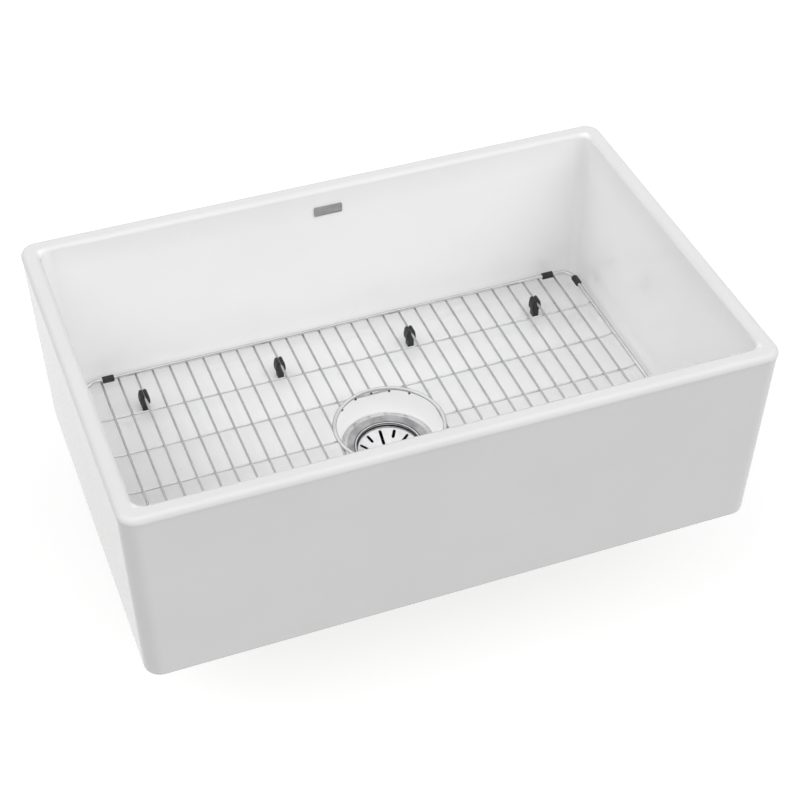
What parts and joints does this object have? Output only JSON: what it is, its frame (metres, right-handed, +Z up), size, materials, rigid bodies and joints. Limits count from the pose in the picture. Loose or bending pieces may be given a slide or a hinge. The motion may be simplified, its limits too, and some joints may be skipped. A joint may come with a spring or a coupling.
{
  "type": "farmhouse apron front sink",
  "caption": "Single-bowl farmhouse sink in white fireclay with a plain tall apron, a lift-out steel wire bottom grid on rubber feet and a basket strainer drain.",
  "frame": {"origin": "on the drain's axis, in the plane of the basin's flat underside, which is the face that rests on the cabinet", "axes": "+X to the right along the apron, +Y from the apron to the back wall, +Z up; the plain apron faces -Y"},
  "size_m": [0.7616, 0.502, 0.4104],
  "materials": {
    "fireclay_glaze": "glossy white glaze",
    "badge_metal": "satin, blank field with a raised border",
    "adhesive_foam": "matt foam pad",
    "drain_steel": "polished, fine turning marks",
    "basket_steel": "polished",
    "wire_steel": "electropolished wire",
    "grid_rubber": "matt black moulded rubber",
    "black_rubber": "matt black rubber",
    "seal_rubber": "matt soft seal",
    "fibre_board": "pressed fibre",
    "locknut_metal": "cast, dull",
    "washer_plastic": "milky white plastic"
  },
  "bodies": {
    "root": {"basin": "fireclay_glaze", "badge_plate": "badge_metal", "badge_adhesive": "adhesive_foam", "strainer_body": "drain_steel", "outlet_spud": "drain_steel", "flange_seal": "seal_rubber", "deck_gasket": "black_rubber", "friction_washer": "fibre_board", "locknut": "locknut_metal", "tailpiece": "drain_steel", "tailpiece_washer": "washer_plastic", "coupling_nut": "drain_steel"},
    "grid": {"grid_frame": "wire_steel", "grid_drain_ring": "wire_steel", "grid_long_wires": "wire_steel", "grid_cross_wires": "wire_steel", "grid_foot_1": "grid_rubber", "grid_foot_2": "grid_rubber", "grid_foot_3": "grid_rubber", "grid_foot_4": "grid_rubber", "grid_foot_5": "grid_rubber", "grid_foot_6": "grid_rubber", "grid_foot_7": "grid_rubber", "grid_foot_8": "grid_rubber", "grid_bumper_1": "grid_rubber", "grid_bumper_2": "grid_rubber", "grid_bumper_3": "grid_rubber", "grid_bumper_4": "grid_rubber", "grid_bumper_5": "grid_rubber", "grid_bumper_6": "grid_rubber", "grid_bumper_7": "grid_rubber", "grid_bumper_8": "grid_rubber"},
    "stopper": {"stopper_seal": "black_rubber", "stopper_washer": "basket_steel"},
    "basket": {"basket_cup": "basket_steel", "basket_post": "basket_steel", "basket_knob": "basket_steel", "retaining_ring": "basket_steel", "post_clip": "basket_steel"}
  },
  "joints": [
    {"name": "grid_lift", "type": "slide", "parent": "root", "child": "grid", "axis": [0, 0, 1], "range_m": [0, 0.24]},
    {"name": "basket_lift", "type": "slide", "parent": "root", "child": "stopper", "axis": [0, 0, 1], "range_m": [0, 0.3]},
    {"name": "basket_turn", "type": "hinge", "parent": "stopper", "child": "basket", "pos_m": [0, 0, 0], "axis": [0, 0, 1], "continuous": true}
  ]
}
